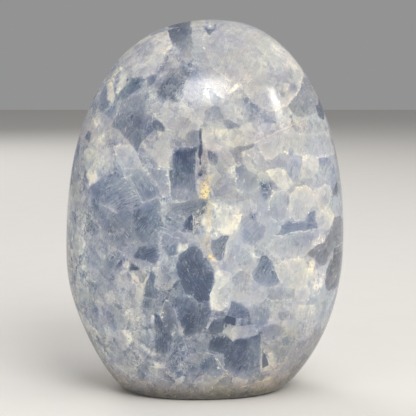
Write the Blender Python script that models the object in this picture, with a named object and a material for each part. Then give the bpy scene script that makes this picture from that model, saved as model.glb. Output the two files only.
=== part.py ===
"""Blue calcite freeform: one solid, polished, egg-shaped stone, ground flat underneath to stand on.

The surface is seen from a heart point inside the stone. Each direction from the heart meets the
surface once: a broad oval outline in X and Z, domed in front (-Y) and behind (+Y), and stopped
below by the flat base. The origin is the centre of the stone's footprint, with the base at Z = 0.
"""

import bmesh
import bpy
import numpy as np

# Driving dimensions, in metres
HEIGHT = 0.130
HALF_WIDTH = 0.0485
FRONT_DEPTH = 0.0285
BACK_DEPTH = 0.0265
HEART_HEIGHT = 0.0493
LOWER_REACH = 0.0616
BASE_TRIM = 0.0004
SIDE_LEAN = 0.039

# How full each curve is: 2 is an ellipse, more is squarer
UPPER_FULLNESS = 2.28
LOWER_FULLNESS = 1.97
RIGHT_FULLNESS = 0.37
FRONT_FULLNESS = 2.7
BACK_FULLNESS = 2.3
BASE_CORNER_SHARPNESS = 32

# Slow waves that hand grinding left round the outline: waves per turn, height, direction in radians
OUTLINE_WAVES = ((3, 0.0088, 0.346), (4, -0.0052, 0.492), (5, 0.0014, 0.759))

# The blend between the fullness of two neighbouring quarters: more is quicker
BLEND_RATE = 2.5

# Facets: columns round the stone, rings up it, and how rings crowd at the base's rounded corner
COLUMNS = 72
RINGS = 48
CORNER_ANGLE = np.radians(33)
CORNER_SPREAD = np.radians(9)
CORNER_CROWDING = 2.2

STONE_COLOUR = (0.42, 0.49, 0.62, 1.0)
STONE_ROUGHNESS = 0.14


def blend(amount):
    """Smooth step: 0 where amount is well below zero, 1 where it is well above."""
    return 0.5 + 0.5 * np.tanh(BLEND_RATE * amount)


def outline_reach(x, z):
    """How far the direction (x, z) lies out in the front view, as a share of the outline there.

    A superellipse whose fullness passes smoothly from quarter to quarter, times the slow waves.
    """
    length = np.hypot(x, z) + 1e-9
    upper = blend(z / length)
    right = blend(x / length)
    fullness = LOWER_FULLNESS + (UPPER_FULLNESS - LOWER_FULLNESS) * upper
    fullness += RIGHT_FULLNESS * (right - 0.5) * (1 - 2 * upper)
    half_height = np.where(z > 0, HEIGHT - HEART_HEIGHT, LOWER_REACH)
    reach = (np.abs(x / HALF_WIDTH) ** fullness + np.abs(z / half_height) ** fullness) ** (1 / fullness)
    turn = np.arctan2(z, x)
    waves = sum(height * np.cos(count * (turn - start)) for count, height, start in OUTLINE_WAVES)
    return reach / (1 + waves)


def stone_surface(directions):
    """The surface point in each direction from the heart, in metres, with the base at Z = 0.

    The outline and the depth join as a superellipse, and that dome joins the base as one with a
    high power, which leaves a small rounded corner. The last of the base is trimmed flat.
    """
    x, y, z = directions.T
    depth = np.where(y < 0, FRONT_DEPTH, BACK_DEPTH)
    fullness = np.where(y < 0, FRONT_FULLNESS, BACK_FULLNESS)
    dome = (outline_reach(x, z) ** fullness + np.abs(y / depth) ** fullness) ** (1 / fullness)
    base = np.maximum(-z, 0) / (HEART_HEIGHT + BASE_TRIM)
    joined = (dome ** BASE_CORNER_SHARPNESS + base ** BASE_CORNER_SHARPNESS) ** (1 / BASE_CORNER_SHARPNESS)
    points = directions / joined[:, None]
    points[:, 0] += SIDE_LEAN * points[:, 2]
    points[:, 2] = np.maximum(points[:, 2] + HEART_HEIGHT, 0)
    return points


def placed(points):
    """The points at the true height, with the footprint's box centred on the origin."""
    points = points * (HEIGHT / points[:, 2].max())
    middle = (points.min(axis=0) + points.max(axis=0)) / 2
    points[:, :2] -= middle[:2]
    return points


def crowd_rings(directions):
    """Directions from evenly spaced rings, moved so that more rings lie by the base's corner."""
    angles = np.linspace(0, np.pi, 721)
    density = 1 + CORNER_CROWDING * np.exp(-(((angles - CORNER_ANGLE) / CORNER_SPREAD) ** 2))
    share = np.concatenate(([0], np.cumsum((density[1:] + density[:-1]) / 2)))
    share *= np.pi / share[-1]
    even = np.arccos(np.clip(-directions[:, 2], -1, 1))
    moved = np.interp(even, share, angles)
    level = np.hypot(directions[:, 0], directions[:, 1])
    sideways = np.sin(moved) / np.maximum(level, 1e-9)
    return np.column_stack((directions[:, 0] * sideways, directions[:, 1] * sideways, -np.cos(moved)))


def stone_material():
    """Polished blue calcite in one plain colour."""
    material = bpy.data.materials.new("blue_calcite")
    material.use_nodes = True
    shader = material.node_tree.nodes["Principled BSDF"]
    shader.inputs["Base Color"].default_value = STONE_COLOUR
    shader.inputs["Roughness"].default_value = STONE_ROUGHNESS
    shader.inputs["Metallic"].default_value = 0.0
    return material


def make_stone():
    """The stone: a ball of rings and columns, each point moved out to the stone's surface."""
    mesh = bpy.data.meshes.new("calcite_freeform")
    ball = bmesh.new()
    bmesh.ops.create_uvsphere(ball, u_segments=COLUMNS, v_segments=RINGS, radius=1.0)
    ball.to_mesh(mesh)
    ball.free()

    directions = np.empty(len(mesh.vertices) * 3, dtype=np.float32)
    mesh.vertices.foreach_get("co", directions)
    directions = directions.reshape(-1, 3).astype(float)
    points = placed(stone_surface(crowd_rings(directions)))
    mesh.vertices.foreach_set("co", points.astype(np.float32).ravel())
    mesh.shade_smooth()
    mesh.update()
    mesh.materials.append(stone_material())

    stone = bpy.data.objects.new("calcite_freeform", mesh)
    bpy.context.collection.objects.link(stone)
    return stone


for old in list(bpy.data.objects):
    bpy.data.objects.remove(old)

make_stone()
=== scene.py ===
"""Blue calcite freeform: the looks of one polished stone, standing on a pale floor in soft light.

The stone's surface is the same formula as its solid, on a finer grid. Its crystals are laid out as
outlines on the front and carried through the material as distances, so that their edges stay sharp.
All outlines are in millimetres: x to the right and z up from the middle of the stone's foot.
"""

import bpy
import numpy as np
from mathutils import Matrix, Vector


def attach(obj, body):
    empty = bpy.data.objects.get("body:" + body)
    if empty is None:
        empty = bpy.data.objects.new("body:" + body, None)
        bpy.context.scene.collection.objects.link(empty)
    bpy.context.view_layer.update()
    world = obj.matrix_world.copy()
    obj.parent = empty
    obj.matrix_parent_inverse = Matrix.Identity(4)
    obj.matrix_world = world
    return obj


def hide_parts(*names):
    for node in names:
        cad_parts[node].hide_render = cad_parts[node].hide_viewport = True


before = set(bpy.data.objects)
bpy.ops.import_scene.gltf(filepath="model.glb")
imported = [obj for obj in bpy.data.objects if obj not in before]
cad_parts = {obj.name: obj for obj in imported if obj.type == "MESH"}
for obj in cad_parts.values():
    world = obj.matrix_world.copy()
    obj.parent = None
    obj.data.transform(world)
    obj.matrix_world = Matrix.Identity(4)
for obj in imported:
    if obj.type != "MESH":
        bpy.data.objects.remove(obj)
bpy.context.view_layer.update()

MM = 0.001

# Camera: on the stone's front side, a little above its middle, looking slightly down
CAMERA_DISTANCE = 0.400
CAMERA_HEIGHT = 0.112
CAMERA_ASIDE = 0.00113
CAMERA_TILT = np.radians(6.81)
LENS = 98.6
SENSOR = 36.0

# Driving dimensions of the stone, in metres, and how full its curves are
HEIGHT = 0.130
HALF_WIDTH = 0.0485
FRONT_DEPTH = 0.0285
BACK_DEPTH = 0.0265
HEART_HEIGHT = 0.0493
LOWER_REACH = 0.0616
BASE_TRIM = 0.0004
SIDE_LEAN = 0.039
UPPER_FULLNESS = 2.28
LOWER_FULLNESS = 1.97
RIGHT_FULLNESS = 0.37
FRONT_FULLNESS = 2.7
BACK_FULLNESS = 2.3
BASE_CORNER_SHARPNESS = 32
OUTLINE_WAVES = ((3, 0.0088, 0.346), (4, -0.0052, 0.492), (5, 0.0014, 0.759))
BLEND_RATE = 2.5

# The fine grid: more columns on the front half than on the back half, and rings from foot to top
FRONT_COLUMNS = 232
BACK_COLUMNS = 108
RINGS = 290
WAIST_STEPS = 2880


def make_camera():
    """The camera at the photograph's viewing angle."""
    lens = bpy.data.cameras.new("camera")
    lens.lens = LENS
    lens.sensor_width = SENSOR
    lens.clip_start = 0.01
    camera = bpy.data.objects.new("camera", lens)
    camera.location = (CAMERA_ASIDE, -CAMERA_DISTANCE, CAMERA_HEIGHT)
    camera.rotation_euler = (np.pi / 2 - CAMERA_TILT, 0, 0)
    bpy.context.collection.objects.link(camera)
    bpy.context.scene.camera = camera


make_camera()


def blend(amount):
    """Smooth step: 0 where amount is well below zero, 1 where it is well above."""
    return 0.5 + 0.5 * np.tanh(BLEND_RATE * amount)


def outline_reach(x, z):
    """How far the direction (x, z) lies out in the front view, as a share of the outline there.

    A superellipse whose fullness passes smoothly from quarter to quarter, times three slow waves.
    """
    length = np.hypot(x, z) + 1e-9
    upper = blend(z / length)
    right = blend(x / length)
    fullness = LOWER_FULLNESS + (UPPER_FULLNESS - LOWER_FULLNESS) * upper
    fullness += RIGHT_FULLNESS * (right - 0.5) * (1 - 2 * upper)
    half_height = np.where(z > 0, HEIGHT - HEART_HEIGHT, LOWER_REACH)
    reach = (np.abs(x / HALF_WIDTH) ** fullness + np.abs(z / half_height) ** fullness) ** (1 / fullness)
    turn = np.arctan2(z, x)
    waves = sum(height * np.cos(count * (turn - start)) for count, height, start in OUTLINE_WAVES)
    return reach / (1 + waves)


def stone_surface(directions):
    """The surface point in each direction from the heart, in metres, standing on Z = 0.

    Outline and depth join as a superellipse, and that dome joins the flat base as one with a high
    power. The points are then put at the true height, with the footprint's box on the origin.
    """
    x, y, z = directions.T
    depth = np.where(y < 0, FRONT_DEPTH, BACK_DEPTH)
    fullness = np.where(y < 0, FRONT_FULLNESS, BACK_FULLNESS)
    dome = (outline_reach(x, z) ** fullness + np.abs(y / depth) ** fullness) ** (1 / fullness)
    base = np.maximum(-z, 0) / (HEART_HEIGHT + BASE_TRIM)
    joined = (dome ** BASE_CORNER_SHARPNESS + base ** BASE_CORNER_SHARPNESS) ** (1 / BASE_CORNER_SHARPNESS)
    points = directions / joined[:, None]
    points[:, 0] += SIDE_LEAN * points[:, 2]
    points[:, 2] = np.maximum(points[:, 2] + HEART_HEIGHT, 0)
    points *= HEIGHT / points[:, 2].max()
    middle = (points.min(axis=0) + points.max(axis=0)) / 2
    points[:, :2] -= middle[:2]
    return points


def spread_columns():
    """Angles round the stone, spaced evenly along its waist, with the front half spaced closer."""
    angles = np.linspace(0, 2 * np.pi, WAIST_STEPS + 1)
    waist = stone_surface(np.column_stack((np.cos(angles), np.sin(angles), np.zeros_like(angles))))
    step = np.linalg.norm(np.diff(waist, axis=0), axis=1)
    front = np.sin((angles[1:] + angles[:-1]) / 2) < 0
    columns = np.where(front, FRONT_COLUMNS, BACK_COLUMNS)
    share = columns * step / np.where(front, step[front].sum(), step[~front].sum())
    travelled = np.concatenate(([0], np.cumsum(share)))
    return np.interp(np.arange(FRONT_COLUMNS + BACK_COLUMNS), travelled, angles)


def stone_grid():
    """Points and faces of the stone: rings of columns between a pole under the foot and one on top.

    A direction is a point of an oval as wide, deep and tall as the stone, so the rings and columns
    stay evenly spaced over the flat front. Each face joins two columns and two rings.
    """
    around = spread_columns()
    rise = np.linspace(np.pi, 0, RINGS + 2)
    around, rise = np.meshgrid(around, rise[1:-1])
    tall = np.where(rise > np.pi / 2, HEART_HEIGHT, HEIGHT - HEART_HEIGHT)
    level = np.sin(rise) * HALF_WIDTH
    directions = np.stack((level * np.cos(around), level * np.sin(around), tall * np.cos(rise)), axis=-1)
    directions = np.concatenate(([[0, 0, -1]], directions.reshape(-1, 3), [[0, 0, 1]]))
    directions /= np.linalg.norm(directions, axis=1)[:, None]
    points = stone_surface(directions)

    columns = FRONT_COLUMNS + BACK_COLUMNS
    index = 1 + np.arange(RINGS * columns).reshape(RINGS, columns)
    following = np.roll(index, -1, axis=1)
    quads = np.stack((index[:-1], following[:-1], following[1:], index[1:]), axis=-1).reshape(-1, 4)
    top = len(points) - 1
    foot_fan = np.column_stack((np.zeros(columns, int), following[0], index[0]))
    top_fan = np.column_stack((np.full(columns, top), index[-1], following[-1]))
    return points, quads, np.concatenate((foot_fan, top_fan))


# How each kind of crystal looks. soft: half width of its edge in mm. line: pale line on the edge.
# ragged: how far the edge wanders in mm. cloud: how mottled. fibre: how fibrous. cover: how solid.
# veil: how much paler it is near its edge.
LOOKS = {
    "zone": dict(soft=3.5, line=0.0, ragged=2.0, cloud=0.8, fibre=0.2, cover=1.0, veil=0.0),
    "calm": dict(soft=3.5, line=0.0, ragged=2.0, cloud=0.3, fibre=0.2, cover=1.0, veil=0.0),
    # foot: broad areas at the stone's foot, painted shade with a painted warm reflection
    "foot": dict(soft=2.2, line=0.0, ragged=2.0, cloud=0.3, fibre=0.2, cover=1.0, veil=0.0),
    "shade": dict(soft=1.2, line=0.0, ragged=0.8, cloud=0.5, fibre=0.3, cover=0.8, veil=0.0),
    "milky": dict(soft=0.45, line=0.2, ragged=0.6, cloud=0.5, fibre=0.3, cover=0.85, veil=0.04),
    "pane": dict(soft=0.16, line=0.4, ragged=0.2, cloud=0.22, fibre=0.4, cover=0.92, veil=0.09),
    "rimmed": dict(soft=0.25, line=0.5, ragged=0.3, cloud=0.25, fibre=0.3, cover=0.85, veil=0.07),
    "window": dict(soft=0.22, line=0.22, ragged=0.3, cloud=0.25, fibre=0.8, cover=1.0, veil=0.09),
    "grey": dict(soft=0.22, line=0.16, ragged=0.25, cloud=0.25, fibre=0.5, cover=0.95, veil=0.05),
    "cloud": dict(soft=0.8, line=0.0, ragged=1.5, cloud=0.9, fibre=0.1, cover=0.9, veil=0.0),
    "flake": dict(soft=0.22, line=0.1, ragged=0.5, cloud=0.6, fibre=0.2, cover=0.95, veil=0.0),
    "streaked": dict(soft=0.9, line=0.0, ragged=1.3, cloud=0.45, fibre=1.0, cover=0.9, veil=0.0),
    "speckled": dict(soft=0.7, line=0.1, ragged=0.9, cloud=1.0, fibre=0.0, cover=0.85, veil=0.0),
}

# The front's crystals, lowest first: look, tone from 0 clear slate to 1 white, outline as x and z in
# turn in mm, and where needed how warm its hue is, the tone's slope per mm in x and z, and the
# fibres' angle in degrees
CRYSTALS = (
    # Broad areas
    ("calm", 0.58, (-10, 134, 25, 134, 44, 112, 40, 98, 20, 97, 6, 102, -3, 112, -6, 121), 0.5),
    ("zone", 0.56, (-10, 134, -6, 121, -3, 112, -8, 98, -45, 96, -50, 112, -30, 134)),
    ("calm", 0.64, (-48, 98, -8, 99, 6, 102, 20, 97, 20, 80, 0, 78, -16, 82, -30, 88, -50, 86), 0.3),
    ("zone", 0.6, (-52, 88, -30, 88, -34, 76, -39, 70, -41, 40, -52, 40)),
    ("zone", 0.52, (-30, 88, -16, 82, 0, 78, 0, 60, -8, 48, -16, 44, -36, 46, -41, 60, -34, 76)),
    ("calm", 0.62, (0, 78, 20, 80, 20, 97, 42, 98, 52, 80, 52, 60, 30, 50, 10, 44, 0, 58)),
    ("calm", 0.66, (10, 44, 30, 50, 52, 62, 52, 36, 42, 20, 22, 22, 16, 30, 6, 33)),
    ("zone", 0.57, (-52, 48, -16, 46, -17, 34, -19, 12, -40, 8, -48, 22)),
    ("zone", 0.34, (-16, 46, 2, 44, 6, 33, 16, 30, 22, 22, 20, 10, -4, 9, -18, 14, -18, 34)),
    ("calm", 0.52, (20, 25, 44, 24, 36, 4, 20, 4), 0.9),
    # The foot and both lower rims: painted shade with a painted warm reflection, darker and warmer nearer
    # the floor and darkest along it; the middle of the foot grows lighter towards the right
    ("foot", 0.44, (-44, 7, -4, 7.4, 20, 8, 40, 7, 34, -4, -36, -4), 1.6, (0.003, 0)),
    ("foot", 0.42, (-47, 26, -41, 22, -36, 13, -31, 9, -22, 6, -22, -4, -50, -4), 1.8),
    ("foot", 0.28, (47, 27, 41, 22.5, 37, 15.4, 31, 9.4, 24, 6, 24, -4, 50, -4), 2.2),
    # Both rims near the floor: painted shade with a painted warm reflection
    ("zone", 0.3, (-56, 60, -47.5, 56, -46.4, 40, -42, 24, -34, 9, -40, 2, -56, 10), 0.9),
    ("zone", 0.34, (56, 40, 48.5, 44, 46.8, 34, 41.6, 20, 34, 9, 40, 2, 56, 10), 1.2),
    ("foot", 0.18, (-36, 3.6, -10, 4, 24, 3.8, 34, 4, 34, -4, -36, -4), 3.2),
    # Top left
    ("milky", 0.72, (-27, 120, -18, 124, -13, 118.5, -14, 114, -17.5, 111, -22, 110, -27, 111, -29.5,
     115), 0.3),
    ("shade", 0.56, (-25, 122, -18.8, 124, -17, 120, -18.5, 116.8, -23, 115.8)),
    ("flake", 0.7, (-18.5, 123.5, -15.5, 128.5, -13, 126.5, -11, 121.5, -11, 119.5, -13.5, 118.3, -16.5,
     120), 0.5),
    ("grey", 0.3, (-14.5, 128, -9, 131, -1, 131.5, -4.5, 127, -4.3, 123, -3.3, 120, -4, 116.5, -6.5,
     115.3, -7.5, 118, -9.5, 120, -10.8, 121.5, -12.7, 125.5), 0.8, (0.022, -0.03), 70),
    ("shade", 0.4, (-9.5, 120, -7.5, 118, -6.5, 115, -9, 114, -13, 112, -16, 112, -14, 116, -11, 119),
     0.6),
    ("milky", 0.64, (-4.8, 127, -1, 126, 0.4, 127.5, 0, 131, -4, 131), 0.9),
    ("milky", 0.6, (0.4, 126.4, 3.4, 127, 4.4, 128.5, 4, 131, 0, 131)),
    ("shade", 0.46, (-18, 110, -14.5, 109.5, -11.5, 113, -8, 115, -7, 112, -9, 104, -15, 104), 0.3),
    ("streaked", 0.3, (-15.6, 106, -13.4, 109.6, -10.6, 112.6, -7.2, 114.3, -5.4, 112.6, -4.8, 110.3,
     -6.4, 108.3, -7.2, 105.8, -8.6, 103, -9.8, 101.8, -12.6, 103.2, -15.4, 104), 0.5, (0.008, 0), 55),
    ("milky", 0.86, (-28.2, 113.8, -26, 111, -27.0, 107.4, -28.8, 104.6, -29.8, 105.5, -28.9, 109)),
    ("grey", 0.45, (-30.3, 108, -29, 112.6, -28.2, 112, -28.8, 108.2)),
    ("flake", 0.82, (-33.2, 107.4, -31.2, 108.6, -29.9, 104.2, -30.5, 101.2, -32.6, 103), 0.6),
    ("grey", 0.38, (-36.4, 99.4, -35.2, 105, -33, 109.4, -32.9, 103, -32, 100.2, -34, 98.3)),
    ("milky", 0.48, (-32, 100.3, -30.5, 101, -28, 103, -29, 98.5, -30.5, 96, -34, 98)),
    ("window", 0.36, (-28.3, 103.2, -25, 104, -21, 105.4, -19.3, 102, -19.3, 98.5, -16, 97, -13.7, 95,
     -13.1, 92.3, -17, 93, -19, 91, -21, 88.5, -22.6, 85.6, -25, 89.5, -28.5, 92.8, -31.2, 93.8, -30,
     96.5, -29, 99), 0.3, (0, 0), 80),
    ("grey", 0.27, (-28.7, 105, -27, 107.2, -25, 108.2, -24.2, 110.2, -21.8, 110.4, -21.1, 107, -23,
     105.6, -25.5, 103.4, -27.9, 102.6), 0, (0, 0), 60),
    ("shade", 0.3, (-25.4, 98, -22, 98.2, -20.5, 94, -23, 92.2, -25, 93.5)),
    ("grey", 0.26, (-18.5, 96.2, -16, 96.3, -14, 95.1, -12.9, 93.5, -13.3, 92.4, -15, 92.6, -17, 93.6),
     0.3),
    ("speckled", 0.8, (-37.5, 96.6, -35, 97, -34, 94.8, -35.5, 93.2, -37.5, 94.4)),
    # Upper right
    ("pane", 0.65, (-1, 122, 4, 133, 22, 131, 36, 117, 34, 112.5, 32.2, 107, 30.4, 104, 27.3, 100.8, 22,
     99, 17, 101, 13, 106, 7, 110, 2, 114), 0.5),
    ("grey", 0.24, (-0.6, 127.4, 1.6, 124, 2.6, 125.4, 4.2, 126.6, 3.6, 128.4, 2.4, 126.6, 1.2, 126.8),
     0.6),
    ("shade", 0.58, (9, 113, 20, 117, 29, 114, 31, 106, 25, 103, 16, 108)),
    ("shade", 0.82, (24, 126, 32, 118, 32.5, 112, 28, 114, 22, 120), 0.3),
    ("grey", 0.44, (27.4, 100.6, 30.5, 103.8, 32.3, 107, 33.6, 111, 36, 112, 41, 100, 38.4, 98.2, 35,
     97.3, 30.6, 97.4), 0.7, (0.012, 0), 75),
    ("grey", 0.22, (37.9, 101, 42, 101, 43.4, 96.4, 40, 95.8, 38.2, 97.6), 1.2),
    ("shade", 0.6, (-5, 103, 0, 101.5, 5, 101, 7, 97, 2, 95, -5, 96), 0.4),
    ("shade", 0.38, (10, 103, 13.5, 104.6, 17, 101.5, 18.6, 99.6, 17, 96, 14.2, 95.6, 14.4, 99.4), 0.4),
    ("grey", 0.4, (5.6, 96.6, 8, 96.8, 10, 95.3, 13.6, 94, 10, 93.9, 8, 93, 6.2, 94.4), 0.5),
    ("grey", 0.36, (18.1, 95.3, 20.5, 96.4, 22.8, 97.8, 21.8, 96.2, 20, 95.3), 0.7),
    ("milky", 0.72, (11.6, 94.4, 15.2, 95.6, 15.8, 93.2, 12, 93.3), 0.5),
    # Painted highlight: a small bright fleck that stands in for a third small glint beside the broad one
    ("flake", 1.04, (8.2, 105.6, 10.6, 106.5, 11.5, 108.2, 10, 107.5)),
    # The pale band and what lies beneath it on the right
    ("milky", 0.67, (-1, 93, 6, 93.2, 16, 93.5, 24, 95.8, 31, 97.2, 40, 96, 43, 92, 33, 91.5, 25, 92.4,
     17, 88.6, 8, 87.6, 4.5, 85.8, 0.5, 87, -0.6, 90), 0.6),
    ("pane", 0.66, (17, 88.4, 21, 90.6, 25, 92.6, 33, 91.6, 42, 92, 45, 84, 38, 83.5, 32.5, 84, 29,
     85.5, 25, 85.4, 22, 83, 19.5, 84), 0.3),
    ("grey", 0.55, (22.3, 82.6, 25.5, 85.2, 27.6, 83, 27.2, 80.6, 23.3, 81.4)),
    ("grey", 0.53, (27.2, 87.6, 29.6, 87, 30.1, 84.6, 28.2, 84.3)),
    ("grey", 0.56, (28, 83.8, 32.2, 83.6, 32.3, 80.5, 30.6, 76, 29.5, 75.2, 27.3, 79.5)),
    ("milky", 0.8, (32.6, 84, 37.8, 83.6, 38.5, 80, 36, 76.4, 32.4, 77, 32.3, 81), 0.4),
    ("grey", 0.55, (38, 83.4, 42.6, 83.2, 43.4, 79, 41.5, 75.8, 40, 75.3, 38.8, 80), 0, (0, 0), 80),
    ("flake", 0.8, (19.9, 79.8, 25, 80.6, 27.1, 79.5, 29.4, 75.6, 27.9, 73, 25.4, 73.2, 23.4, 75.4,
     21.4, 77.4), 0.2),
    ("grey", 0.32, (43.2, 70.2, 44.4, 73.6, 45.6, 74.6, 45.4, 70.4), 1.2),
    ("speckled", 0.34, (18.3, 77, 20, 75.8, 21.8, 75.8, 23.6, 73.6, 22.4, 72.4, 20, 69.8, 18.9, 72)),
    # Centre
    ("milky", 0.56, (2, 86, 5, 84.6, 8, 86, 10.2, 83, 9.8, 80, 10.3, 74, 12, 72, 10, 69.5, 3, 70, 1.4,
     76), 0.5),
    ("grey", 0.42, (8, 86.2, 11, 87.9, 16.3, 88.9, 16, 87.3, 12.6, 86.4, 12.3, 82.5, 10.6, 80.4, 10,
     83), 0.5, (-0.01, 0)),
    ("pane", 0.46, (9.8, 81, 12.4, 82.4, 14.2, 80.3, 17.6, 78, 18, 74.5, 15, 72.3, 11, 73.2, 10.1, 77)),
    ("milky", 0.66, (12.5, 86, 16.2, 87.3, 20, 84, 19.5, 80.5, 17.3, 80.5, 14.3, 80.6, 12.6, 82.6)),
    ("milky", 0.76, (7.6, 80.6, 9.8, 81.2, 10.1, 78.2, 7.2, 77.6)),
    ("grey", 0.3, (0.9, 86.8, 4, 85.9, 4.6, 83, 3.6, 81.3, 1.4, 82), 0.6),
    ("milky", 0.46, (-1.3, 86.8, 0.7, 86.6, 1.3, 82, 1.1, 80.4, -1.2, 80.4), 1.1),
    ("grey", 0.4, (-6.1, 91.4, -4.5, 92.6, -1.3, 93, -0.8, 88, -2, 87, -5.3, 87.7), 0.5),
    ("milky", 0.7, (-19, 90, -14, 92, -10, 91.5, -9.9, 88, -10.4, 85, -12, 81, -15, 81, -17, 84.5, -20,
     87), 0.3),
    ("shade", 0.5, (-19.4, 85, -16, 84, -16.4, 81, -19.4, 81.4)),
    ("window", 0.22, (-9.8, 87.9, -2.2, 87.3, -2.9, 82, -3.1, 76, -1.9, 70.4, -7, 69.7, -11, 70.4,
     -11.7, 76, -11.9, 80, -10.5, 80.4, -10.4, 85), 0.2, (-0.002, -0.021), 90),
    ("shade", 0.46, (-12.4, 90, -3, 89.6, -3, 87, -11.4, 86.4), 0.3, (0, 0), 90),
    ("grey", 0.48, (-2.9, 86, -2.0, 86, -1.9, 81, -2.9, 78), 0.6),
    ("grey", 0.04, (-1.6, 93.8, -0.9, 93.6, -0.8, 87, -1.3, 81.5, -1.9, 81.4, -1.9, 86), 0.8),
    ("pane", 0.48, (-19.4, 81, -16, 80.3, -12.3, 80.2, -11.8, 76, -11.1, 71.3, -15, 71.4, -18, 77),
     0.2),
    ("speckled", 0.06, (-2.0, 80.6, 0.6, 80.8, 1.3, 79, 0.6, 77.8, -1.8, 78), 1.4),
    ("flake", 0.52, (-1.5, 77.8, 0.6, 78.2, 2.6, 78, 1.9, 74.5, 2.4, 72, 0.4, 70.4, -1.5, 70.9), 1),
    ("milky", 0.58, (0.8, 70.5, 2.6, 71, 2.6, 66, 1.8, 61, 0.6, 61.5, 0.2, 68), 0.9),
    ("speckled", 0.28, (-3.6, 66.4, -1.5, 68, 0.6, 68.4, 1.4, 66, 1.0, 62, -1, 61, -3.6, 61.6), 1),
    # The blue zone on the left
    ("cloud", 1.16, (-39, 77, -36.4, 79, -35.2, 76, -36, 74.2, -38.8, 74.4), 0.3),
    ("milky", 0.78, (-41, 86, -31, 87, -28.5, 81.5, -33, 77.6, -36, 79, -39.5, 77)),
    ("shade", 0.9, (-37.2, 90, -33.2, 91.8, -33, 87.6, -36.6, 86.8)),
    ("grey", 0.58, (-33.2, 92.2, -30.6, 93, -30.4, 88.3, -33, 88.6), 0.3),
    ("grey", 0.24, (-40.8, 90, -39.6, 92.4, -37.9, 91.6, -38.8, 88.2)),
    ("window", 0.4, (-33.2, 77.8, -27.6, 80.1, -24, 74, -20.4, 68.9, -15, 71, -14.3, 66, -13.2, 62,
     -15.3, 57, -14.4, 52, -16, 48, -20, 46.4, -24.3, 49, -27, 52, -31, 54, -34, 56, -36, 62, -38, 70,
     -38, 74), 0, (0, 0), 65),
    ("streaked", 0.47, (-34.5, 77.7, -27.2, 81, -23, 77, -18, 69.5, -24, 66.5, -31, 66, -36.8, 73.5), 0,
     (0.004, 0.006), 22),
    ("shade", 0.62, (-36.5, 69.8, -31, 68, -28.6, 65.6, -32, 64.8, -35, 66.4)),
    ("streaked", 0.28, (-23.5, 66.6, -17.5, 68, -14.8, 66, -13.8, 61, -15.4, 56.4, -20.6, 55.6, -23,
     60), 0, (0.01, -0.006), 50),
    ("streaked", 0.37, (-33.4, 64.6, -27.5, 66, -24, 64, -23.6, 58, -27, 55.4, -32, 57), 0, (0.006, 0),
     130),
    ("window", 0.16, (-22, 54.4, -15.2, 55.6, -14.6, 52, -16.2, 48.4, -20, 49.6, -23.6, 51), 0, (0, 0),
     20),
    ("shade", 0.5, (-31, 54, -27, 57, -24, 56, -25, 52, -28, 50)),
    ("speckled", 0.36, (-32.7, 60.2, -30.6, 61.8, -30.3, 58, -32.4, 57.8)),
    ("speckled", 0.32, (-38, 69.6, -36.4, 69.8, -35.6, 66, -37.6, 65.8)),
    # The long slanted crystal over it
    ("pane", 0.68, (-30.8, 87.6, -24.5, 88, -22.4, 85.4, -20, 80.4, -17.8, 76, -27.6, 79.8, -29, 82.6)),
    ("pane", 0.5, (-27.7, 80, -19.8, 80.2, -17.8, 76.6, -25.5, 76.8), -0.3),
    ("window", 0.42, (-25.9, 77.4, -22.4, 79.2, -19.2, 79.9, -17.2, 76.6, -15.2, 74, -14.6, 71.3, -17,
     70.7, -20.4, 69, -23, 73), 0, (-0.006, 0.01), 120),
    # Beneath the tall window
    ("window", 0.32, (-12.6, 69.1, -8, 69.2, -4, 70.2, -1.5, 70.9, 1.4, 70.3, 0.4, 68, -1.5, 66.5, -3.7,
     65.9, -4.1, 63, -3.7, 59.8, -6.1, 60.8, -6.7, 64.4, -9, 65.5, -12.3, 66.2), 0.5, (0, 0), 20),
    ("streaked", 0.44, (-15.2, 66.4, -9, 65.4, -6.8, 64, -6.4, 61, -10, 59.6, -15, 60.2), 0, (0, 0),
     160),
    ("grey", 0.08, (-4, 65.8, -7.4, 62, -6.8, 60.4, -3.6, 60)),
    ("milky", 0.51, (-15, 59.6, -4, 59.4, -2, 57.4, -5, 55.6, -9, 56, -15, 55)),
    ("cloud", 0.77, (1.5, 69, 5, 69.4, 10, 68, 13.2, 66.4, 12.2, 63, 10.4, 60.4, 8, 58.3, 5.4, 58, 4.4,
     56.6, 2.5, 57, 0.2, 60, -1, 63), 0.2),
    ("flake", 0.95, (5, 64.6, 12.4, 65.6, 12, 62.6, 10.4, 60.3, 8, 58.4, 5.4, 59), 0.2),
    ("grey", 0.32, (2.1, 57.2, 4, 56.6, 5.3, 58.2, 7.9, 58.3, 7.1, 54.5, 6.1, 50.5, 4.6, 49.7, 2.8,
     51.4, 1.9, 54), 0.2, (0, 0), 60),
    ("shade", 0.52, (-12, 69, -8, 71.4, -2, 71, -5, 74, -11, 74), 0.4),
    # Right of the centre: the long pale crystal and its neighbours
    ("pane", 0.66, (3.9, 45.6, 6.4, 51, 7.5, 56.4, 9, 59, 12.2, 62, 15, 61.6, 17, 56, 15.6, 52, 14.6,
     48.4, 11, 46.6, 9.5, 44.6), 0, (0, 0.004), 75),
    ("grey", 0.51, (12.4, 64, 15.4, 66.8, 17.4, 63.6, 20.2, 61, 19.5, 57.4, 16, 54.4, 13, 56, 11.2, 60),
     0, (0, 0), 50),
    ("speckled", 0.2, (15, 66, 17.3, 65.9, 17, 63.6, 15.2, 63.8)),
    ("milky", 0.6, (10.4, 54, 14.8, 54.4, 16, 49.6, 14.8, 48.4, 11.6, 47, 9.8, 50)),
    ("grey", 0.56, (9.2, 45, 12, 47, 15, 46, 15.9, 42.4, 14.4, 39, 11.4, 38, 9, 40), 0.2),
    ("cloud", 0.63, (15.4, 53.4, 20, 53, 19, 50.8, 15.6, 49.6)),
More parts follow.
